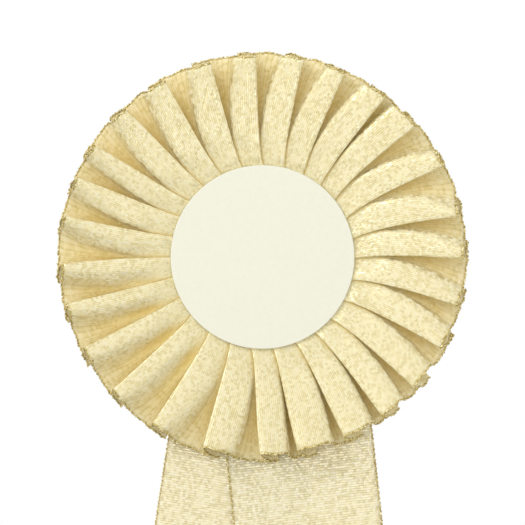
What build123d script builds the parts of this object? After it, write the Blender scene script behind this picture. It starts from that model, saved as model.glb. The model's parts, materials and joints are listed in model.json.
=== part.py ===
from build123d import *
import math
import os

# Award rosette: a ring of knife-pleated ribbon round a card disc, two ribbon tails behind it,
# and a brooch pin on the back.
# Millimetres. +Z is up and the front faces -Y. The origin is on the brooch pin's axis, at the
# middle of the bar, so "depth" below always means the distance forward of that axis.

# Driving sizes
ribbon_width = 40.0
centre_diameter = 50.0
rosette_radius = 55.5
rosette_z = -8.0                # centre of the rosette, below the brooch pin
pleat_count = 27
overall_height = 280.0          # top of the rosette to the ends of the tails

# Layers from the back to the front, each a thickness
wire_height = 2.2               # pin axis above the brooch bar
bar_thickness = 0.5
pin_pad_thickness = 0.7
card_thickness = 0.7            # backing card and base card
adhesive_thickness = 0.4
tail_thickness = 0.3
tail_gap = 0.3                  # air between the two tails
pressed_pleats = 1.7            # thickness of the pleats where the centre disc presses on them
disc_thickness = 0.8

pin_pad_depth = wire_height + bar_thickness
backing_card_depth = pin_pad_depth + pin_pad_thickness
adhesive_depth = backing_card_depth + card_thickness
rear_tail_depth = adhesive_depth + adhesive_thickness
front_tail_depth = rear_tail_depth + tail_thickness + tail_gap
base_card_depth = front_tail_depth + tail_thickness
pleats_depth = base_card_depth + card_thickness
disc_depth = pleats_depth + pressed_pleats

# Cards and pads
base_card_radius = 32.0
backing_card_radius = 35.0
adhesive_radius = 30.0
centre_pad_radius = 14.0
disc_edge_radius = 0.2
pin_pad_length = 28.0
pin_pad_width = 4.4

# Pleats: a flat under layer, and one raised fold per pleat that leans clockwise
pleats_inner_radius = rosette_radius - ribbon_width
under_layer_radius = rosette_radius - 0.9
under_layer_rim = 2.4           # thickness of the under layer at the rim
fold_start_radius = centre_diameter / 2 + 0.4
fold_end_radius = rosette_radius - 0.4
fold_start_height = 2.3
fold_rim_height = 7.6
fold_root = 0.5                 # how far each fold reaches down into the under layer

# Tails
hinge_drop = rosette_radius + 2.0       # hinge line below the rosette's centre
hinge_gap = 0.3                         # each stretch stops this far from the hinge line
tail_top_rise = 14.0                    # tail's stapled end above the rosette's centre
front_tail_lean = 6.2                   # degrees, the foot towards +X
front_tail_x = 10.8                     # middle of the tail at the hinge line
rear_tail_lean = -8.7
rear_tail_x = -6.6
notch_depth = 13.0

# Staples
staple_wire = 0.4
staple_width = 0.5
staple_length = 8.0
clinch_gap = 2.6
pleat_staple_count = 9
pleat_staple_radius = 19.4
tail_staple_spacing = 18.0
tail_staple_x = 2.5
tail_staple_rise = 8.0

# Brooch
bar_length = 32.0
bar_width = 5.0
bar_hole_radius = 0.9
bar_hole_spacing = 12.0
rivet_x = -13.2
rivet_radius = 0.4
rivet_head_radius = 0.75
rivet_head_thickness = 0.25
eye_radius = 1.25
eye_hole_radius = 0.45
eye_half_thickness = 0.45
ear_inner = 0.55
ear_thickness = 0.4
ear_radius = 1.2
wire_radius = 0.4
taper_start_x = 9.5
wire_tip_x = 15.6
wire_tip_radius = 0.04
catch_x = 11.8
catch_length = 2.4
catch_bore_radius = 0.6
catch_outer_radius = 1.25
catch_slot_width = 1.1
catch_tab_angle = 108.0         # degrees from +Y towards +Z, with the catch open
catch_tab_root = 0.9
catch_tab_reach = 3.4
catch_tab_thickness = 0.5
catch_tab_length = 2.0
housing_inner_radius = 1.35
housing_outer_radius = 1.8
housing_from = 130.0            # degrees from +Y towards +Z
housing_to = 325.0
housing_foot_width = 1.6


def facing_front(depth, x=0.0, z=0.0, turn=0.0):
    """A plane facing forwards at a depth, turned anticlockwise as seen from the front."""
    angle = math.radians(turn)
    return Plane(
        origin=(x, -depth, z),
        x_dir=(math.cos(angle), 0, math.sin(angle)),
        z_dir=(0, -1, 0),
    )


def facing_back(depth, x=0.0, z=0.0):
    """A plane facing backwards at a depth."""
    return Plane(origin=(x, -depth, z), x_dir=(1, 0, 0), z_dir=(0, 1, 0))


def card_disc(radius, depth, thickness):
    """A round card or pad, concentric with the rosette."""
    with BuildPart() as disc:
        with BuildSketch(facing_front(depth, z=rosette_z)):
            Circle(radius)
        extrude(amount=thickness)
    return disc


def staple(span):
    """One clinched staple: local Y along its crown, local Z from the crown to the clinch."""
    with BuildPart() as one_staple:
        with BuildSketch(Plane.YZ.offset(-staple_width / 2)):
            Rectangle(staple_length, span, align=(Align.CENTER, Align.MIN))
            with Locations((0, staple_wire)):
                Rectangle(
                    staple_length - 2 * staple_wire,
                    span - 2 * staple_wire,
                    align=(Align.CENTER, Align.MIN),
                    mode=Mode.SUBTRACT,
                )
            with Locations((0, span)):
                Rectangle(
                    clinch_gap,
                    staple_wire,
                    align=(Align.CENTER, Align.MAX),
                    mode=Mode.SUBTRACT,
                )
        extrude(amount=staple_width)
    return one_staple


def tail_stretch(depth, lean, hinge_x, hanging):
    """One stretch of a tail: the stapled top above the hinge line, or the stretch that hangs.

    The sketch runs along the ribbon, so the level hinge line is turned back by the lean.
    """
    half_width = ribbon_width / 2
    angle = math.radians(lean)
    foot_drop = half_width * math.sin(abs(angle))
    rise = (hinge_drop + tail_top_rise) / math.cos(angle)
    fall = (overall_height - rosette_radius - hinge_drop - foot_drop) / math.cos(angle)
    if hanging:
        kept_side = Align.MAX
        step = -hinge_gap
    else:
        kept_side = Align.MIN
        step = hinge_gap
    with BuildPart() as stretch:
        with BuildSketch(facing_front(depth, hinge_x, rosette_z - hinge_drop, lean)):
            with BuildLine():
                Polyline(
                    (-half_width, rise),
                    (-half_width, -fall),
                    (0, notch_depth - fall),
                    (half_width, -fall),
                    (half_width, rise),
                    close=True,
                )
            make_face()
            with Locations((0, step)):
                Rectangle(
                    2 * overall_height,
                    overall_height,
                    rotation=-lean,
                    align=(Align.CENTER, kept_side),
                    mode=Mode.INTERSECT,
                )
        extrude(amount=tail_thickness)
    return stretch


# Staples come first, because the layers that they pierce are cut to fit round them
pleat_staple = staple(disc_depth - base_card_depth)
with BuildPart() as pleat_staples:
    with Locations(facing_back(disc_depth, z=rosette_z)):
        with PolarLocations(pleat_staple_radius, pleat_staple_count, start_angle=90):
            add(pleat_staple.part)

tail_staple = staple(pleats_depth - adhesive_depth)
with BuildPart() as tail_staples:
    with Locations(facing_front(adhesive_depth, tail_staple_x, rosette_z + tail_staple_rise, turn=90)):
        with GridLocations(0, tail_staple_spacing, 1, 2):
            add(tail_staple.part)


# Pleated ribbon: one fold is lofted from the disc's edge to the rim, then repeated round the ring
def fold_outline(radius, crest, root):
    """Section of one fold, X clockwise and Y forwards: a long face to a crest that overhangs."""
    pitch = 2 * math.pi * radius / pleat_count
    return Polyline(
        (-0.46 * pitch, root),
        (0.30 * pitch, 0.86 * crest),
        (0.52 * pitch, crest),
        (0.28 * pitch, root),
        close=True,
    )


with BuildPart() as one_fold:
    with BuildSketch(Plane.XZ.offset(-fold_start_radius)):
        with BuildLine():
            fold_outline(fold_start_radius, fold_start_height, pressed_pleats - fold_root)
        make_face()
    with BuildSketch(Plane.XZ.offset(-fold_end_radius)):
        with BuildLine():
            fold_outline(fold_end_radius, fold_rim_height, under_layer_rim - fold_root)
        make_face()
    loft(ruled=True)

rosette_axis = Axis((0, 0, rosette_z), (0, -1, 0))
under_layer_plane = Plane(origin=(0, -pleats_depth, rosette_z), x_dir=(1, 0, 0), z_dir=(0, 0, -1))
with BuildPart() as pleated_ribbon:
    with BuildSketch(under_layer_plane):
        with BuildLine():
            Polyline(
                (pleats_inner_radius, 0),
                (under_layer_radius, 0),
                (under_layer_radius, under_layer_rim),
                (centre_diameter / 2, pressed_pleats),
                (pleats_inner_radius, pressed_pleats),
                close=True,
            )
        make_face()
    revolve(axis=rosette_axis)
    with Locations(facing_front(pleats_depth, z=rosette_z)):
        with PolarLocations(0, pleat_count):
            add(one_fold.part)
    add(pleat_staples.part, mode=Mode.SUBTRACT)

# Cards, pads and adhesive
with BuildPart() as centre_disc:
    with BuildSketch(facing_front(disc_depth, z=rosette_z)):
        Circle(centre_diameter / 2)
    extrude(amount=disc_thickness)
    fillet(centre_disc.edges().group_by(Axis.Y)[0], radius=disc_edge_radius)

centre_pad = card_disc(centre_pad_radius, pleats_depth, pressed_pleats)

with BuildPart() as base_card:
    with BuildSketch(facing_front(base_card_depth, z=rosette_z)):
        Circle(base_card_radius)
    extrude(amount=card_thickness)
    add(pleat_staples.part, mode=Mode.SUBTRACT)
    add(tail_staples.part, mode=Mode.SUBTRACT)

with BuildPart() as backing_adhesive:
    with BuildSketch(facing_front(adhesive_depth, z=rosette_z)):
        Circle(adhesive_radius)
    extrude(amount=adhesive_thickness)
    add(tail_staples.part, mode=Mode.SUBTRACT)

backing_card = card_disc(backing_card_radius, backing_card_depth, card_thickness)

with BuildPart() as pin_pad:
    with BuildSketch(facing_front(pin_pad_depth)):
        RectangleRounded(pin_pad_length, pin_pad_width, radius=0.45 * pin_pad_width)
    extrude(amount=pin_pad_thickness)

# Tails
with BuildPart() as front_tail_top:
    add(tail_stretch(front_tail_depth, front_tail_lean, front_tail_x, hanging=False).part)
    add(tail_staples.part, mode=Mode.SUBTRACT)

with BuildPart() as rear_tail_top:
    add(tail_stretch(rear_tail_depth, rear_tail_lean, rear_tail_x, hanging=False).part)
    add(tail_staples.part, mode=Mode.SUBTRACT)

front_tail = tail_stretch(front_tail_depth, front_tail_lean, front_tail_x, hanging=True)
rear_tail = tail_stretch(rear_tail_depth, rear_tail_lean, rear_tail_x, hanging=True)

# Brooch bar: a stamped plate with two ears at one end and the catch's housing at the other
with BuildPart() as pin_base:
    with BuildSketch(facing_front(wire_height)):
        RectangleRounded(bar_length, bar_width, radius=0.49 * bar_width)
        with GridLocations(bar_hole_spacing, 0, 2, 1):
            Circle(bar_hole_radius, mode=Mode.SUBTRACT)
    extrude(amount=bar_thickness)
    with BuildSketch(Plane.XY.offset(ear_inner)):
        with Locations((rivet_x, 0)):
            Circle(ear_radius)
            Rectangle(
                2 * ear_radius,
                wire_height + bar_thickness / 2,
                align=(Align.CENTER, Align.MAX),
            )
            Circle(rivet_radius, mode=Mode.SUBTRACT)
    extrude(amount=ear_thickness)
    mirror(about=Plane.XY)
    with BuildSketch(Plane.YZ.offset(catch_x)):
        Rectangle(
            wire_height + bar_thickness / 2,
            housing_foot_width,
            align=(Align.MAX, Align.CENTER),
        )
        Circle(housing_outer_radius)
        Circle(housing_inner_radius, mode=Mode.SUBTRACT)
        with BuildLine():
            opening = CenterArc(
                (0, 0),
                2 * housing_outer_radius,
                start_angle=housing_to - 360,
                arc_size=housing_from + 360 - housing_to,
            )
            Line(opening @ 1, (0, 0))
            Line((0, 0), opening @ 0)
        make_face(mode=Mode.SUBTRACT)
    extrude(amount=catch_length)

with BuildPart() as pin_rivet:
    with BuildSketch(Plane.XY):
        with Locations((rivet_x, 0)):
            Circle(rivet_radius)
    extrude(amount=ear_inner + ear_thickness)
    with BuildSketch(Plane.XY.offset(ear_inner + ear_thickness)):
        with Locations((rivet_x, 0)):
            Circle(rivet_head_radius)
    extrude(amount=rivet_head_thickness)
    mirror(about=Plane.XY)

# Brooch pin: a flattened eye round the rivet, a straight wire and a ground point
with BuildPart() as pin_wire:
    with BuildSketch(Plane.XY.offset(-eye_half_thickness)):
        with Locations((rivet_x, 0)):
            Circle(eye_radius)
    extrude(amount=2 * eye_half_thickness)
    with BuildSketch(Plane.XY):
        with BuildLine():
            Polyline(
                (rivet_x, 0),
                (rivet_x, wire_radius),
                (taper_start_x, wire_radius),
                (wire_tip_x, wire_tip_radius),
                (wire_tip_x, 0),
                close=True,
            )
        make_face()
    revolve(axis=Axis.X)
    with BuildSketch(Plane.XY.offset(-eye_half_thickness)):
        with Locations((rivet_x, 0)):
            Circle(eye_hole_radius)
    extrude(amount=2 * eye_half_thickness, mode=Mode.SUBTRACT)

# Safety catch: a slotted sleeve that turns round the pin, with a thumb tab
with BuildPart() as pin_catch:
    with BuildSketch(Plane.YZ.offset(catch_x)):
        Circle(catch_outer_radius)
        Circle(catch_bore_radius, mode=Mode.SUBTRACT)
        Rectangle(
            catch_outer_radius + catch_bore_radius,
            catch_slot_width,
            align=(Align.MIN, Align.CENTER),
            mode=Mode.SUBTRACT,
        )
    extrude(amount=catch_length)
    tab_angle = math.radians(catch_tab_angle)
    tab_plane = Plane(
        origin=(catch_x + catch_length / 2, 0, 0),
        x_dir=(1, 0, 0),
        z_dir=(0, math.cos(tab_angle), math.sin(tab_angle)),
    )
    with BuildSketch(tab_plane.offset(catch_tab_root)):
        Rectangle(catch_tab_length, catch_tab_thickness)
    extrude(amount=catch_tab_reach - catch_tab_root)

subparts = {
    "centre_disc": centre_disc,
    "centre_pad": centre_pad,
    "pleated_ribbon": pleated_ribbon,
    "base_card": base_card,
    "pleat_staples": pleat_staples,
    "front_tail_top": front_tail_top,
    "front_tail": front_tail,
    "rear_tail_top": rear_tail_top,
    "rear_tail": rear_tail,
    "tail_staples": tail_staples,
    "backing_adhesive": backing_adhesive,
    "backing_card": backing_card,
    "pin_pad": pin_pad,
    "pin_base": pin_base,
    "pin_rivet": pin_rivet,
    "pin_wire": pin_wire,
    "pin_catch": pin_catch,
}
os.makedirs("parts", exist_ok=True)
for label, subpart in subparts.items():
    subpart.part.label = label
    export_step(subpart.part, f"parts/{label}.step")
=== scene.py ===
import json
import math
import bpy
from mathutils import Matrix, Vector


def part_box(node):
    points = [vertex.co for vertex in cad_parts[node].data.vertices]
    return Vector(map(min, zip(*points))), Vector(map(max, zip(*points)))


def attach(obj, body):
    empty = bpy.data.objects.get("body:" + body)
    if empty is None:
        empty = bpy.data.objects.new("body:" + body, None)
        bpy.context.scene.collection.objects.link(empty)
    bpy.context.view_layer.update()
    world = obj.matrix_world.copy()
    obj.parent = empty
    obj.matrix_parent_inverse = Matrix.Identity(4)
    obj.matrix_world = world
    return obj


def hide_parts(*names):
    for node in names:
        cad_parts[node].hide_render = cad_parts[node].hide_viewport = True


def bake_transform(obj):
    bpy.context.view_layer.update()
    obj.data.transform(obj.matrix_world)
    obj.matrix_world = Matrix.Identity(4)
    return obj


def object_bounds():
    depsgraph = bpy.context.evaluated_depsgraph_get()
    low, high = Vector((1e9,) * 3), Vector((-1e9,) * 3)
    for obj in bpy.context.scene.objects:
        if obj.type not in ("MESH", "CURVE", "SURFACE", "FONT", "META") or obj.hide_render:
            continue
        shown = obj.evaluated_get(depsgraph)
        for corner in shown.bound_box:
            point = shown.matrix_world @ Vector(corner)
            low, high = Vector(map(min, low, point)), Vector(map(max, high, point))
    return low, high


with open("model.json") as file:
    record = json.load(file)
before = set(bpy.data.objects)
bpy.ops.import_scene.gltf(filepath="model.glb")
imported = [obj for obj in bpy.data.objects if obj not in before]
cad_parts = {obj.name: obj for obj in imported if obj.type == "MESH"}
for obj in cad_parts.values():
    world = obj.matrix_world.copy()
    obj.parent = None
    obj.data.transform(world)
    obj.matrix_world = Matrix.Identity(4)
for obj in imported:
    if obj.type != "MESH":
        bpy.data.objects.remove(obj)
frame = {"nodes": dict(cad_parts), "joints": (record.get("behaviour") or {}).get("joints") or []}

from types import SimpleNamespace
import bpy
import numpy as np
from mathutils import Vector

cad_low, cad_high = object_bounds()
nodes = frame["nodes"]
joints = {joint["name"]: joint for joint in frame["joints"]}
rng = np.random.default_rng(27)
MM = 0.001

# ---------------------------------------------------------------- places from the frame, in metres
disc_low, disc_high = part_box("centre_disc")
ring_low, ring_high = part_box("pleated_ribbon")
centre_x = (disc_low.x + disc_high.x) / 2
centre_z = (disc_low.z + disc_high.z) / 2
disc_front = disc_low.y
pleats_back = ring_high.y

# ---------------------------------------------------------------- sizes, in millimetres
disc_radius = (disc_high.x - disc_low.x) / 2 / MM
rosette_radius = (ring_high.x - ring_low.x) / 2 / MM
pressed_height = (ring_high.y - disc_high.y) / MM      # room for the pleats under the centre disc
ribbon_width = 40.0
ribbon_thickness = 0.16
inner_radius = rosette_radius - ribbon_width
pleat_count = 27
ribbon_per_pleat = 26.0         # at the pleats' inner ends
pressed_width = 9.0             # stretch at the inner ends that needs few rows of points
rim_reach = 5.0                 # how far a hidden fold reaches behind its neighbour at the rim
between_pleats = 0.3            # ribbon from one pleat's last point to the next one's first
turn_steps = 5                  # in the half circle round a fold
bead_length = 0.66              # of the metal thread along the ribbon's edges
pleat_thread_radius = 0.26
tail_thread_radius = 0.19
notch_depth = 13.0              # of the V cut in a tail's end


def smooth(x, low, high):
    """Smooth step from 0 at low to 1 at high."""
    t = np.clip((x - low) / (high - low), 0.0, 1.0)
    return t * t * (3.0 - 2.0 * t)


def between(a, b, share):
    """From a, where the share is 0, to b, where it is 1."""
    return (1 - share) * a + share * b


def near(angle, centre, width):
    """A bell, 1 at the centre angle, for what changes round the rosette. Degrees."""
    away = (angle - centre + 180.0) % 360.0 - 180.0
    return np.exp(-((away / width) ** 2))


def new_mesh(name, points, faces, uv=None, fold=None):
    """A mesh object from points in metres. uv and fold, the painted shade of the folds, have one
    row per vertex.
    """
    mesh = bpy.data.meshes.new(name)
    mesh.from_pydata([tuple(p) for p in points], [], faces)
    mesh.update()
    if uv is not None:
        layer = mesh.uv_layers.new(name="ribbon")
        corner = np.zeros(len(mesh.loops), np.int32)
        mesh.loops.foreach_get("vertex_index", corner)
        layer.data.foreach_set("uv", np.asarray(uv, np.float32)[corner].ravel())
    if fold is not None:
        mesh.attributes.new("fold", "FLOAT", "POINT").data.foreach_set("value", fold)
    mesh.polygons.foreach_set("use_smooth", [True] * len(mesh.polygons))
    piece = bpy.data.objects.new(name, mesh)
    bpy.context.scene.collection.objects.link(piece)
    return piece


def grid_faces(rows, columns, close_rows=False, close_columns=False):
    """Four-sided faces between the points of a grid that is numbered row by row."""
    faces = []
    for row in range(rows if close_rows else rows - 1):
        here = row * columns
        there = (row + 1) % rows * columns
        for column in range(columns if close_columns else columns - 1):
            beside = (column + 1) % columns
            faces.append((here + column, there + column, there + beside, here + beside))
    return faces


def thicken(piece, thickness):
    """Gives a sheet's mesh its thickness, half to each side."""
    solid = piece.modifiers.new("thickness", "SOLIDIFY")
    solid.thickness = thickness * MM
    solid.offset = 0.0
    graph = bpy.context.evaluated_depsgraph_get()
    made = bpy.data.meshes.new_from_object(piece.evaluated_get(graph))
    piece.modifiers.clear()
    piece.data = made


# ---------------------------------------------------------------- materials
class Pattern:
    """Short calls that add nodes to a node tree and join them."""

    def __init__(self, tree):
        self.tree = tree

    def join(self, value, socket):
        if isinstance(value, bpy.types.NodeSocket):
            self.tree.links.new(value, socket)
        else:
            socket.default_value = value

    def node(self, kind, inputs=None, **settings):
        node = self.tree.nodes.new(kind)
        for name, value in settings.items():
            setattr(node, name, value)
        for name, value in (inputs or {}).items():
            self.join(value, node.inputs[name])
        return node

    def math(self, operation, a, b=0.0, c=0.0):
        node = self.node("ShaderNodeMath", {0: a, 1: b, 2: c}, operation=operation)
        return node.outputs[0]

    def spread(self, value, low, high, new_low, new_high):
        inputs = {"Value": value, "From Min": low, "From Max": high}
        inputs.update({"To Min": new_low, "To Max": new_high})
        return self.node("ShaderNodeMapRange", inputs).outputs["Result"]

    def noise(self, vector, scale, detail=2.0, roughness=0.5):
        inputs = {"Vector": vector, "Scale": scale, "Detail": detail, "Roughness": roughness}
        return self.node("ShaderNodeTexNoise", inputs).outputs["Fac"]

    def random(self, vector):
        return self.node("ShaderNodeTexWhiteNoise", {"Vector": vector}).outputs

    def combine(self, x, y, z=0.0):
        return self.node("ShaderNodeCombineXYZ", {"X": x, "Y": y, "Z": z}).outputs["Vector"]

    def ramp(self, factor, stops):
        node = self.node("ShaderNodeValToRGB", {"Fac": factor})
        ramp = node.color_ramp
        while len(ramp.elements) < len(stops):
            ramp.elements.new(0.5)
        for element, (place, colour) in zip(ramp.elements, stops):
            element.position = place
            element.color = (*colour, 1.0)
        return node.outputs["Color"]

    def bump(self, height, distance, strength=1.0):
        inputs = {"Height": height, "Distance": distance, "Strength": strength}
        return self.node("ShaderNodeBump", inputs).outputs["Normal"]


def new_material(name, roughness, metallic=0.0):
    material = bpy.data.materials.new(name)
    material.use_nodes = True
    shader = material.node_tree.nodes["Principled BSDF"]
    shader.inputs["Roughness"].default_value = roughness
    shader.inputs["Metallic"].default_value = metallic
    return material, shader, Pattern(material.node_tree)


def plain_material(name, colour, roughness, grain):
    """A colour with a little mottling, stronger with more grain, on a finely rough surface."""
    material, shader, pattern = new_material(name, roughness)
    scale = 900.0
    place = pattern.node("ShaderNodeTexCoord").outputs["Object"]
    mottle = pattern.noise(place, scale, 3.0)
    darker = [c * (1.0 - 0.05 * grain) for c in colour]
    pattern.join(pattern.ramp(mottle, [(0.3, darker), (0.7, colour)]), shader.inputs["Base Color"])
    fine = pattern.noise(place, 4.0 * scale, 2.0)
    pattern.join(pattern.bump(fine, 0.02 * MM), shader.inputs["Normal"])
    return material


def dress(piece, material):
    """Gives a piece one material and takes away any other."""
    piece.data.materials.clear()
    piece.data.materials.append(material)


def ribbon_material(name, rib_pitch, dash_length, contrast, paleness, through_share):
    """Gold and cream lame ribbon: ribs across the ribbon, of foil dashes between cream yarn."""
    material, shader, pattern = new_material(name, 0.4)
    uv = pattern.node("ShaderNodeUVMap", uv_map="ribbon").outputs["UV"]
    split = pattern.node("ShaderNodeSeparateXYZ", {"Vector": uv})
    wander = pattern.noise(uv, 120.0, 1.0)
    along = pattern.math("MULTIPLY", split.outputs["X"], 1.0 / (rib_pitch * MM))
    along = pattern.math("MULTIPLY_ADD", wander, 0.3, along)
    rib = pattern.math("FLOOR", along)
    shift = pattern.random(pattern.combine(rib, 3.7))["Value"]
    across = pattern.math("MULTIPLY", split.outputs["Y"], 1.0 / (dash_length * MM))
    across = pattern.math("ADD", across, shift)
    dash = pattern.math("FLOOR", across)
    chance = pattern.random(pattern.combine(rib, dash))
    tint = chance["Value"]
    tilt = pattern.node("ShaderNodeSeparateXYZ", {"Vector": chance["Color"]})
    beside = pattern.math("SUBTRACT", pattern.math("FRACT", along), 0.5)
    within = pattern.math("SUBTRACT", pattern.math("FRACT", across), 0.5)
    roundness = pattern.math("MULTIPLY", beside, beside)

    # each dash has its own lightness, changed by crinkles about as wide as a thread, by soft
    # clouds of a few millimetres, and by the shade along the thread's two sides
    crinkle = pattern.noise(uv, 2400.0, 2.0, 0.6)
    cloud = pattern.noise(uv, 350.0, 2.0, 0.5)
    mixed = pattern.math("MULTIPLY", tint, 0.50)
    mixed = pattern.math("MULTIPLY_ADD", crinkle, 0.28, mixed)
    mixed = pattern.math("MULTIPLY_ADD", cloud, 0.08, mixed)
    mixed = pattern.math("MULTIPLY_ADD", roundness, -1.3, mixed)
    middle = 0.37
    half_range = 0.4 / contrast
    mixed = pattern.spread(mixed, middle - half_range, middle + half_range, 0.0, 1.0)
    olive = (0.62, 0.53, 0.23)
    gold = (0.90, 0.79, 0.44)
    cream = (0.97, 0.88, 0.55)
    pale = (1.0, 0.95, 0.71)
    stops = [(0.0, olive), (0.35, gold), (0.55, cream), (0.9, pale)]
    stops = [(place, [c + paleness * (1.0 - c) for c in colour]) for place, colour in stops]
    lit = pattern.ramp(mixed, stops)

    # painted shade: inside the folds the fold attribute mixes the colour towards a darker, deeper
    # gold
    fold = pattern.node("ShaderNodeAttribute", attribute_name="fold").outputs["Fac"]
    deep_shade = pattern.ramp(mixed, [(0.0, (0.72, 0.53, 0.14)), (1.0, (0.88, 0.67, 0.22))])
    colour = pattern.node("ShaderNodeMix", {0: fold, 6: lit, 7: deep_shade}, data_type="RGBA")
    pattern.join(colour.outputs[2], shader.inputs["Base Color"])

    # about half of the dashes are foil, which mirrors its surroundings outside the folds
    foil = pattern.spread(tilt.outputs["Z"], 0.45, 0.55, 1.0, 0.0)
    foil = pattern.math("MULTIPLY", foil, pattern.spread(roundness, 0.10, 0.18, 1.0, 0.0))
    foil = pattern.math("MULTIPLY", foil, pattern.spread(fold, 0.0, 0.25, 1.0, 0.0))
    pattern.join(pattern.math("MULTIPLY", foil, 0.75), shader.inputs["Metallic"])
    dull = pattern.spread(foil, 0.0, 1.0, 0.6, 0.3)
    pattern.join(dull, shader.inputs["Roughness"])

    # each thread is round, and lies at its own small slope
    slope_a = pattern.math("SUBTRACT", tilt.outputs["X"], 0.5)
    slope_b = pattern.math("SUBTRACT", tilt.outputs["Y"], 0.5)
    rounded = pattern.math("MULTIPLY", roundness, -1.2)
    height = pattern.math("MULTIPLY_ADD", slope_a, beside, rounded)
    height = pattern.math("MULTIPLY_ADD", pattern.math("MULTIPLY", slope_b, 0.9), within, height)
    height = pattern.math("MULTIPLY_ADD", crinkle, 0.3, height)
    relief = pattern.spread(fold, 0.0, 1.0, 1.0, 0.15)
    pattern.join(pattern.bump(height, 0.08 * MM, relief), shader.inputs["Normal"])

    # the ribbon is thin, so some light comes through it, golden
    through = pattern.node("ShaderNodeBsdfTranslucent", {"Color": (1.0, 0.85, 0.43, 1.0)})
    inputs = {0: through_share, 1: shader.outputs[0], 2: through.outputs[0]}
    both = pattern.node("ShaderNodeMixShader", inputs)
    output = material.node_tree.nodes["Material Output"]
    pattern.join(both.outputs[0], output.inputs["Surface"])
    return material


def thread_material():
    """Gilt metal thread of the ribbon's edge."""
    material, shader, pattern = new_material("gilt_thread", 0.3, 0.65)
    place = pattern.node("ShaderNodeTexCoord").outputs["Object"]
    patches = pattern.noise(place, 1500.0, 2.0)
    stops = [(0.40, (0.40, 0.30, 0.08)), (0.52, (0.72, 0.58, 0.21)), (0.68, (1.0, 0.93, 0.62))]
    pattern.join(pattern.ramp(patches, stops), shader.inputs["Base Color"])
    fine = pattern.noise(place, 4000.0, 1.0)
    pattern.join(pattern.bump(fine, 0.05 * MM), shader.inputs["Normal"])
    return material


def foam_material():
    """White foam with fine pores, painted darker towards each pore's middle as shade."""
    material, shader, pattern = new_material("white_foam", 0.9)
    place = pattern.node("ShaderNodeTexCoord").outputs["Object"]
    cells = pattern.node("ShaderNodeTexVoronoi", {"Vector": place, "Scale": 2500.0})
    distance = cells.outputs["Distance"]
    # painted shade: the colour darkens towards the middle of each pore, where the bump sinks
    stops = [(0.1, (0.62, 0.62, 0.60)), (0.5, (0.86, 0.86, 0.84))]
    pattern.join(pattern.ramp(distance, stops), shader.inputs["Base Color"])
    pattern.join(pattern.bump(distance, 0.1 * MM), shader.inputs["Normal"])
    return material


def metal_material(name, colour, roughness):
    """Metal with very faint lengthwise scratches and slightly dull patches."""
    material, shader, pattern = new_material(name, roughness, 1.0)
    place = pattern.node("ShaderNodeTexCoord").outputs["Object"]
    stretched = pattern.node("ShaderNodeMapping", {"Vector": place, "Scale": (0.08, 1.0, 1.0)})
    scratches = pattern.noise(stretched.outputs["Vector"], 6000.0, 3.0)
    dull = pattern.noise(place, 500.0, 2.0)
    worn = [0.93 * c for c in colour]
    pattern.join(pattern.ramp(dull, [(0.3, worn), (0.6, colour)]), shader.inputs["Base Color"])
    rough = pattern.spread(dull, 0.3, 0.7, 0.95 * roughness, 1.2 * roughness)
    pattern.join(rough, shader.inputs["Roughness"])
    pattern.join(pattern.bump(scratches, 0.0004 * MM), shader.inputs["Normal"])
    return material


# ---------------------------------------------------------------- camera and light
def build_camera():
    """A level camera straight in front of the rosette."""
    view_width = 142.7 * MM         # what the frame shows at the centre disc's face
    distance = 1.0
    drop = 1.5 * MM                 # the rosette sits a little above the frame's middle
    data = bpy.data.cameras.new("camera")
    data.sensor_width = 36.0
    data.lens = data.sensor_width * distance / view_width
    data.clip_start = 0.01
    camera = bpy.data.objects.new("camera", data)
    camera.location = (centre_x, disc_front - distance, centre_z - drop)
    camera.rotation_euler = (math.radians(90), 0, 0)
    bpy.context.scene.collection.objects.link(camera)
    bpy.context.scene.camera = camera


def softbox(name, offset, size, power):
    """A soft light that looks at the rosette from an offset in metres."""
    middle = Vector((centre_x, disc_front, centre_z))
    data = bpy.data.lights.new(name, "AREA")
    data.shape = "RECTANGLE"
    data.size, data.size_y = size
    data.energy = power
    lamp = bpy.data.objects.new(name, data)
    lamp.location = middle + Vector(offset)
    lamp.rotation_euler = (-Vector(offset)).to_track_quat("-Z", "Y").to_euler()
    bpy.context.scene.collection.objects.link(lamp)


def build_world():
    """White to the camera. As light, a pale studio, dark below and dimmer towards the top."""
    world = bpy.data.worlds.new("studio")
    bpy.context.scene.world = world
    world.use_nodes = True
    pattern = Pattern(world.node_tree)
    direction = pattern.node("ShaderNodeTexCoord").outputs["Generated"]
    split = pattern.node("ShaderNodeSeparateXYZ", {"Vector": direction})
    above = pattern.math("MULTIPLY", split.outputs["Z"], 0.65)
    lit = pattern.math("MULTIPLY_ADD", split.outputs["Y"], -0.08, above)
    strength = pattern.spread(lit, -0.28, 0.04, 0.03, 1.20)
    overhead = pattern.spread(split.outputs["Z"], 0.1, 1.0, 1.0, 0.5)
    strength = pattern.math("MULTIPLY", strength, overhead)
    lighting = world.node_tree.nodes["Background"]
    pattern.join(strength, lighting.inputs["Strength"])
    lighting.inputs["Color"].default_value = (1.0, 1.0, 1.0, 1.0)
    white = pattern.node("ShaderNodeBackground", {"Color": (1.0, 1.0, 1.0, 1.0)})
    seen = pattern.node("ShaderNodeLightPath").outputs["Is Camera Ray"]
    inputs = {0: seen, 1: lighting.outputs[0], 2: white.outputs[0]}
    both = pattern.node("ShaderNodeMixShader", inputs)
    pattern.join(both.outputs[0], world.node_tree.nodes["World Output"].inputs["Surface"])


def build_stage():
    """A pale floor just below the tails' ends."""
    gap = 0.004
    half = 0.7
    low = cad_low.z - gap
    corners = [(-half, -half, low), (half, -half, low), (half, half, low), (-half, half, low)]
    floor = new_mesh("floor", corners, [(0, 1, 2, 3)])
    dress(floor, plain_material("floor_paper", (0.68, 0.68, 0.67), 0.8, grain=0.4))


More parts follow.
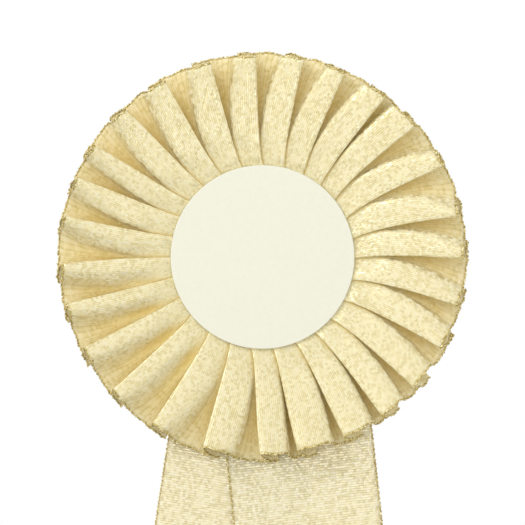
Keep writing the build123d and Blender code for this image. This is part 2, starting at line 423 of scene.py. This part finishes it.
# ---------------------------------------------------------------- edge threads
def resample(values, spacing, closed):
    """Rows of values (point, then anything else) respaced evenly along the points' line."""
    if closed:
        values = np.vstack([values, values[:1]])
    steps = np.linalg.norm(np.diff(values[:, :3], axis=0), axis=1)
    distance = np.concatenate([[0.0], np.cumsum(steps)])
    count = int(distance[-1] / spacing)
    wanted = np.linspace(0.0, distance[-1], count, endpoint=not closed)
    columns = [np.interp(wanted, distance, column) for column in values.T]
    return np.stack(columns, axis=-1), wanted


def edge_thread(name, path, outward, closed, radius):
    """A beaded metal thread along a ribbon's edge. outward points off the ribbon, per point."""
    bead = bead_length * MM
    sides = 6
    values, distance = resample(np.hstack([path, outward]), bead / 5, closed)
    points, outward = values[:, :3], values[:, 3:]
    if closed:
        tangent = np.roll(points, -1, axis=0) - np.roll(points, 1, axis=0)
    else:
        tangent = np.gradient(points, axis=0)
    tangent /= np.linalg.norm(tangent, axis=1)[:, None]
    side = outward - np.sum(outward * tangent, axis=1)[:, None] * tangent
    side /= np.linalg.norm(side, axis=1)[:, None]
    other = np.cross(tangent, side)
    phase = np.pi * distance / bead
    phase += 0.9 * np.sin(distance / (1.7 * MM)) + 0.5 * np.sin(distance / (0.61 * MM))
    swell = radius * MM * (0.62 + 0.5 * np.abs(np.sin(phase)))
    overhang = 0.05 * MM + 0.09 * MM * np.sin(phase)
    centre = points + side * overhang[:, None]
    turn = 2 * np.pi * np.arange(sides) / sides
    round_side = np.cos(turn)[None, :, None] * side[:, None]
    round_other = np.sin(turn)[None, :, None] * other[:, None]
    rings = centre[:, None] + swell[:, None, None] * (round_side + round_other)
    faces = grid_faces(len(points), sides, closed, True)
    if not closed:
        last_ring = (len(points) - 1) * sides
        faces.append(tuple(range(sides)))
        faces.append(tuple(last_ring + k for k in reversed(range(sides))))
    piece = new_mesh(name, rings.reshape(-1, 3), faces)
    dress(piece, materials["gilt_thread"])
    return piece


# ---------------------------------------------------------------- pleats
def pleat_angles():
    """Clockwise angle of each pleat's crest where it leaves the centre disc, in degrees."""
    even = 13.5 + 360.0 / pleat_count * np.arange(pleat_count)
    drift = 0.5 - 2.4 * np.sin(np.radians(even - 15.0))
    drift += 2.0 * near(even, 232.0, 22.0) - 2.2 * near(even, 325.0, 28.0)
    return even + drift + rng.uniform(-0.5, 0.5, pleat_count)


def curve_through(stations, end_direction, counts):
    """Points on smooth curves through stations, one curve per row.

    stations is (rows, knots, 2); counts has the number of steps from each knot to the next.
    """
    chords = np.linalg.norm(np.diff(stations, axis=1), axis=2)
    slopes = np.diff(stations, axis=1) / chords[:, :, None]
    tangents = np.empty_like(stations)
    a, b = chords[:, :-1, None], chords[:, 1:, None]
    tangents[:, 1:-1] = (slopes[:, :-1] * b + slopes[:, 1:] * a) / (a + b)
    tangents[:, 0] = slopes[:, 0]
    tangents[:, -1] = np.asarray(end_direction)
    parts = []
    for k, count in enumerate(counts):
        t = (np.arange(count) / count)[None, :, None]
        chord = chords[:, k, None, None]
        parts.append(
            (2 * t**3 - 3 * t**2 + 1) * stations[:, k, None]
            + (t**3 - 2 * t**2 + t) * chord * tangents[:, k, None]
            + (3 * t**2 - 2 * t**3) * stations[:, k + 1, None]
            + (t**3 - t**2) * chord * tangents[:, k + 1, None]
        )
    return np.concatenate(parts, axis=1)


def pairs(sideways, up):
    """Points of a section, one per radius."""
    return np.stack([sideways, up], axis=-1)


def half_turn(centre, radius, count):
    """Points round a fold's half circle, clockwise from its top. radius is per row."""
    angle = np.radians(90.0 - 180.0 * (np.arange(1, count) / count))
    ring = np.stack([np.cos(angle), np.sin(angle)], axis=-1)
    return centre[:, None] + radius[:, None, None] * ring[None]


def draw_pleats():
    """Each pleat's own measures, which drift round the rosette and differ a little at random."""
    crest = pleat_angles()
    wide = rng.uniform(-0.07, 0.07, pleat_count)
    tall = rng.uniform(-0.7, 0.7, pleat_count)
    sway = rng.uniform(-0.4, 0.4, pleat_count)
    valley_share = 0.50 + 0.20 * near(crest, 80, 42) - 0.26 * near(crest, 172, 30)
    rim_height = 7.0 + 1.6 * near(crest, 175, 35) + 0.8 * near(crest, 315, 30) + tall
    early_lean = 2.6 - 2.4 * near(crest, 262, 30) + rng.uniform(-0.4, 0.4, pleat_count)
    late_lean = -2.0 * near(crest, 88, 50) + 2.4 * near(crest, 182, 17) + sway
    late_lean += 1.3 * near(crest, 308, 16)
    face_drop = 0.12 + 0.5 * near(crest, 245, 36) + rng.uniform(-0.02, 0.04, pleat_count)
    draw_in = 0.55 + 0.7 * near(crest, 170, 50)
    draw_in += rng.uniform(-0.3, 0.3, pleat_count)
    corner_out = 0.1 + 0.25 * near(crest, 130, 45) + 0.2 * near(crest, 230, 35)
    corner_out += rng.uniform(-0.35, 0.35, pleat_count)

    # a few pleats are plainly wider, narrower or further turned than their neighbours
    wide[3] -= 0.36
    wide[[15, 20]] += 0.14
    early_lean[[3, 4, 13]] += 1.5
    late_lean[19] += 1.8
    valley_share += wide + 0.20 * near(crest, 315, 28)
    return SimpleNamespace(
        crest=crest,
        valley_share=valley_share,
        rim_height=rim_height,
        early_lean=early_lean,
        late_lean=late_lean,
        face_drop=face_drop,
        draw_in=draw_in,
        corner_out=corner_out,
    )


def crest_lines(pleats, radius, q):
    """The crests' angles in degrees and heights in mm: a row per pleat, a column per radius."""
    outside = np.maximum(radius - disc_radius + 0.6, 0.0)
    turned_back = 1.0 - np.exp(-outside / 4.4)
    angle = pleats.crest[:, None] - pleats.early_lean[:, None] * turned_back
    angle = angle - pleats.late_lean[:, None] * q**1.5
    pressed = pressed_height - 0.25
    puffed = 0.5 * smooth(radius, disc_radius, disc_radius + 2.5)
    height = pressed + puffed + (pleats.rim_height[:, None] - pressed - 0.5) * q**1.15
    return angle, height


def pleat_section(q, pitch, next_pitch, height, valley_share, face_drop):
    """One pleat's section at each radius: points sideways from its crest and up from its back.

    It starts at the hidden fold behind the pleat before, goes through the valley and over the
    shoulder and the face to the crest, and returns underneath to the next hidden fold.
    """
    opened = smooth(q, 0.0, 0.4)        # 0 where the pleat lies in one slant, 1 where it is shaped
    reach = between((ribbon_per_pleat - pitch) / 2, rim_reach, q)
    next_reach = between((ribbon_per_pleat - next_pitch) / 2, rim_reach, q)
    fold_radius = 0.2 + 0.25 * q
    fold_height = 0.1 + 0.2 * q
    fold_x = -pitch - reach
    slant = (height - fold_height) / (pitch + reach)

    def on_slant(x):
        return fold_height + slant * (x - fold_x)

    valley_width = pitch * np.maximum(valley_share * q**1.65, 0.05)
    shoulder_x = valley_width - pitch
    shoulder_h = between(on_slant(shoulder_x), height * (1.0 - face_drop) - 0.3, opened)
    valley_x = between(-pitch - 2.4, -pitch + 0.35 * valley_width, opened)
    valley_x = np.minimum(valley_x, shoulder_x - 0.9)
    valley_h = between(on_slant(valley_x), height * (0.68 - 0.53 * q), opened)
    rise_x = valley_x + (0.5 + 0.22 * opened) * (shoulder_x - valley_x)
    rise_h = valley_h + (0.5 - 0.12 * opened) * (shoulder_h - valley_h)
    middle_x = 0.5 * shoulder_x
    middle_h = (0.5 - 0.4 * opened) * shoulder_h + (0.5 + 0.4 * opened) * height + 0.05 * opened
    floor_x = 0.5 * (valley_x + fold_x)
    floor_h = 0.6 * valley_h + 0.4 * fold_height
    crest_top = pairs(-fold_radius, height)
    stations = [
        pairs(fold_x + fold_radius, fold_height),
        pairs(floor_x, floor_h),
        pairs(valley_x, valley_h),
        pairs(rise_x, rise_h),
        pairs(shoulder_x, shoulder_h),
        pairs(middle_x, middle_h),
        crest_top,
    ]
    face = curve_through(np.stack(stations, axis=1), (1.0, -0.05), (3, 5, 4, 5, 5, 5))

    crest = half_turn(pairs(-fold_radius, height - fold_radius), fold_radius, turn_steps)
    crest_under = pairs(-fold_radius, height - 2 * fold_radius)
    next_fold_x = -next_reach
    fold_top = pairs(next_fold_x + fold_radius, fold_height + 2 * fold_radius)
    back = curve_through(np.stack([crest_under, fold_top], axis=1), (-1.0, 0.0), (9,))

    # the hidden fold turns the other way, so its half circle is mirrored
    fold_centre = pairs(next_fold_x + fold_radius, fold_height + fold_radius)
    turn = half_turn(fold_centre, fold_radius, turn_steps)
    turn[:, :, 0] = 2 * fold_centre[:, None, 0] - turn[:, :, 0]
    parts = [face, crest_top[:, None], crest, back, fold_top[:, None], turn]
    section = np.concatenate(parts, axis=1)
    raised = (section[:, :, 1] - fold_height[:, None]) / (height - fold_height)[:, None]
    return SimpleNamespace(
        section=section,
        raised=raised,
        face_points=face.shape[1],
        fold_x=fold_x,
        shoulder_x=shoulder_x,
    )


def fold_shade(pleat, pitch, radius, q):
    """How far down in a fold each point lies, 0 to 1: painted shade that turns the ribbon's colour
    a darker gold there.
    """
    deep_shade = smooth(1.0 - pleat.raised, 0.25, 0.75)
    foot = -pitch[:, None]
    tucked = 1.0 - smooth(pleat.section[:, :, 0], foot - 0.2, foot + 1.0)
    # painted shade: none inside the centre disc's edge, and weaker towards the rim
    shade_strength = (radius > disc_radius - 0.5) * (1.0 - 0.85 * q**2.5)
    return np.maximum(deep_shade, tucked) * shade_strength[:, None]


def rim_shift(pleat, corner_out, draw_in, distance, q):
    """How far outwards each point moves, in mm: corners flare, crests draw in, edges scallop."""
    corner = 1.0 - pleat.raised**4
    pulled = pleat.raised**3
    face_x = pleat.section[:, : pleat.face_points, 0]
    face_run = (pleat.shoulder_x - pleat.fold_x)[:, None]
    before_shoulder = (pleat.shoulder_x[:, None] - face_x) / face_run
    corner[:, : pleat.face_points] = np.clip(before_shoulder, 0.0, 1.0)
    pulled[:, : pleat.face_points] = pleat.raised[:, : pleat.face_points]
    pull = corner_out * corner - draw_in * pulled
    scallop = 0.16 * np.sin(distance / 0.85) + 0.12 * np.sin(distance / 0.37 + 1.0)
    return pull * q[:, None] ** 2 + scallop * q[:, None] ** 12


def build_pleats():
    """The pleated ribbon as one closed sheet, with a metal thread along its outer edge."""
    pressed_rows = np.linspace(0.0, pressed_width, 5)[:-1]
    row_steps = np.concatenate([pressed_rows, np.linspace(pressed_width, ribbon_width, 32)])
    radius = inner_radius + row_steps
    rows = len(radius)
    q = np.clip((radius - disc_radius) / (rosette_radius - disc_radius), 0.0, 1.0)
    pleats = draw_pleats()
    crest_angle, crest_height = crest_lines(pleats, radius, q)
    angles = []
    heights = []
    fold_shades = []
    shifts = []
    distances = []
    start = 0.0
    for i in range(pleat_count):
        after = (i + 1) % pleat_count
        pitch = np.radians((crest_angle[i] - crest_angle[i - 1]) % 360.0) * radius
        next_pitch = np.radians((crest_angle[after] - crest_angle[i]) % 360.0) * radius
        valley_share = pleats.valley_share[i]
        face_drop = pleats.face_drop[i]
        pleat = pleat_section(q, pitch, next_pitch, crest_height[i], valley_share, face_drop)
        sideways = pleat.section[:, :, 0]
        angles.append(crest_angle[i][:, None] + np.degrees(sideways / radius[:, None]))
        heights.append(pleat.section[:, :, 1])
        fold_shades.append(fold_shade(pleat, pitch, radius, q))

        # the ribbon's length, measured along one section outside the middle of its width
        measured = pleat.section[int(rows * 0.6)]
        lengths = np.linalg.norm(np.diff(measured, axis=0), axis=1)
        distance = start + np.concatenate([[0.0], np.cumsum(lengths)])
        distances.append(distance)
        start = distance[-1] + between_pleats
        shifts.append(rim_shift(pleat, pleats.corner_out[i], pleats.draw_in[i], distance, q))

    turned = np.radians(np.concatenate(angles, axis=1))
    height = np.concatenate(heights, axis=1)
    distance = np.concatenate(distances)
    count = len(distance)

    # the ribbon keeps its width, so a stretch that rises also draws in from the rim
    rise = np.diff(height, axis=0)
    across = np.diff(row_steps)[:, None]
    run = np.sqrt(np.maximum(across**2 - rise**2, (0.6 * across) ** 2))
    run = np.concatenate([np.zeros((1, count)), np.cumsum(run, axis=0)])
    from_centre = inner_radius + run
    from_centre = from_centre + np.concatenate(shifts, axis=1)
    x = centre_x + from_centre * np.sin(turned) * MM
    z = centre_z + from_centre * np.cos(turned) * MM
    y = pleats_back - (height + ribbon_thickness / 2) * MM
    points = np.stack([x, y, z], axis=-1)
    uv = np.stack(np.broadcast_arrays(distance[None], row_steps[:, None]), axis=-1) * MM
    # painted shade of the folds, 0 to 1 per point, which the material mixes towards a darker gold
    fold = np.concatenate(fold_shades, axis=1)
    faces = grid_faces(rows, count, close_columns=True)
    flat_points = points.reshape(-1, 3)
    piece = new_mesh("pleated_ribbon_cloth", flat_points, faces, uv.reshape(-1, 2), fold.ravel())
    thicken(piece, ribbon_thickness)
    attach(piece, "root")
    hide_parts("pleated_ribbon")
    dress(piece, materials["pleat_ribbon"])
    rim = points[-1]
    outward = rim - points[-3]
    thread = edge_thread("pleated_ribbon_edge", rim, outward, True, pleat_thread_radius)
    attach(thread, "root")


# ---------------------------------------------------------------- tails
def tail_line(top_node, hanging_node, pivot):
    """Where a tail's middle crosses its hinge line, its lean, and its length below and above.

    The lean is in radians, the rest in millimetres.
    """
    top_low, top_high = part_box(top_node)
    low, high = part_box(hanging_node)
    half_width = ribbon_width / 2
    leans_right = high.x + low.x > 2 * centre_x
    if leans_right:
        middle = (top_high.x + low.x) / 2 / MM
        reach = high.x / MM - middle
    else:
        middle = (top_low.x + high.x) / 2 / MM
        reach = middle - low.x / MM
    drop = (pivot.z - low.z) / MM

    # the lean and the drop of the tail's corner depend on each other, so this closes in on both
    lean = 0.0
    for _ in range(6):
        across = reach - half_width * math.cos(lean)
        lean = math.atan2(across, drop - half_width * math.sin(lean))
    fall = (drop - half_width * math.sin(lean)) / math.cos(lean)
    rise = ((top_high.z - pivot.z) / MM - half_width * math.sin(lean)) / math.cos(lean)
    return middle, lean if leans_right else -lean, fall, rise


def build_tail(name, body, joint, front, seed_shift):
    """One tail: a length of ribbon, flat behind the rosette, then hanging in slight waves."""
    pivot = Vector(joints[joint]["pos_m"])
    top_node = body + "_top"
    middle, lean, fall, rise = tail_line(top_node, body, pivot)
    half_width = ribbon_width / 2
    columns = 25
    rows = 150
    u = np.linspace(-half_width, half_width, columns)[None]
    v = np.linspace(0.0, 1.0, rows)[:, None]
    down = -rise + (rise + fall) * v
    cut = 1 - np.abs(u) / half_width
    down = down - notch_depth * cut * np.clip((v - 0.7) / 0.3, 0, 1) ** 2
    x = middle + u * math.cos(lean) + down * math.sin(lean)
    z = pivot.z / MM + u * math.sin(lean) - down * math.cos(lean)

    # slight waves that grow below the rosette, forward on the front tail, back on the rear one
    side = 1.0 if front else -1.0
    hang = smooth(down, -18.0, 60.0)
    phase = 0.9 * seed_shift
    wave = 0.9 * np.sin(down / 31.0 + phase + u / 26.0)
    wave = wave + 0.5 * np.sin(down / 17.0 - u / 14.0 + phase)
    curl = 0.9 * (u / half_width) ** 2 * np.sin(down / 70.0 + phase)
    forward = hang * (side * 1.5 + wave + curl)
    fine = 0.05 * np.sin(down / 2.9 + 1.3 * np.sin(u / 5.0)) * smooth(down, -30.0, 0.0)
    y = pivot.y / MM - forward - fine
    points = np.stack(np.broadcast_arrays(x, y, z), axis=-1) * MM
    uv = np.stack(np.broadcast_arrays(down + rise, u + half_width), axis=-1) * MM
    faces = grid_faces(rows, columns)
    # the tails get no painted fold shade
    no_fold = np.zeros(rows * columns)
    piece = new_mesh(name, points.reshape(-1, 3), faces, uv.reshape(-1, 2), no_fold)
    thicken(piece, ribbon_thickness)
    dress(piece, materials["tail_ribbon"])
    across = np.array([math.cos(lean), 0.0, math.sin(lean)])
    edges = []
    for side_name, column, outward in (("left", 0, -across), ("right", -1, across)):
        path = points[:, column]
        outward = np.broadcast_to(outward, path.shape)
        edge_name = f"{name}_{side_name}_edge"
        edges.append(edge_thread(edge_name, path, outward, False, tail_thread_radius))
    for part in (piece, *edges):
        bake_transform(part)
    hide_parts(top_node, body)


# ---------------------------------------------------------------- the whole scene
build_world()
build_camera()
softbox("key", (-0.8, -0.78, 0.85), (1.0, 0.6), 6.2)
softbox("fill", (0.1, -0.9, -0.5), (1.0, 0.5), 5.8)
bpy.context.scene.view_settings.view_transform = "Standard"
materials = {
    "pleat_ribbon": ribbon_material("pleat_lame", 0.56, 0.75, 0.8, 0.0, 0.12),
    "tail_ribbon": ribbon_material("tail_lame", 0.66, 0.75, 1.0, 0.15, 0.15),
    "gilt_thread": thread_material(),
    "foam": foam_material(),
    "centre_card": plain_material("cream_card", (0.84, 0.83, 0.69), 0.75, grain=0.5),
    "grey_card": plain_material("grey_board", (0.42, 0.40, 0.36), 0.9, grain=3.0),
    "backing_card": plain_material("white_board", (0.84, 0.83, 0.79), 0.7, grain=1.0),
    "adhesive": plain_material("dried_adhesive", (0.78, 0.72, 0.55), 0.35, grain=2.0),
    "staple_wire": metal_material("staple_wire", (0.62, 0.62, 0.63), 0.3),
    "plated_steel": metal_material("nickel_plate", (0.72, 0.71, 0.69), 0.22),
    "pin_steel": metal_material("pin_steel", (0.60, 0.60, 0.61), 0.18),
}

build_stage()
build_pleats()
build_tail("front_tail_cloth", "front_tail", "front_tail_swing", True, 0.0)
build_tail("rear_tail_cloth", "rear_tail", "rear_tail_swing", False, 1.0)
cad_looks = {
    "centre_disc": "centre_card",
    "base_card": "grey_card",
    "backing_card": "backing_card",
    "backing_adhesive": "adhesive",
    "centre_pad": "foam",
    "pin_pad": "foam",
    "pleat_staples": "staple_wire",
    "tail_staples": "staple_wire",
    "pin_base": "plated_steel",
    "pin_rivet": "plated_steel",
    "pin_catch": "plated_steel",
    "pin_wire": "pin_steel",
}
for node, look in cad_looks.items():
    dress(nodes[node], materials[look])
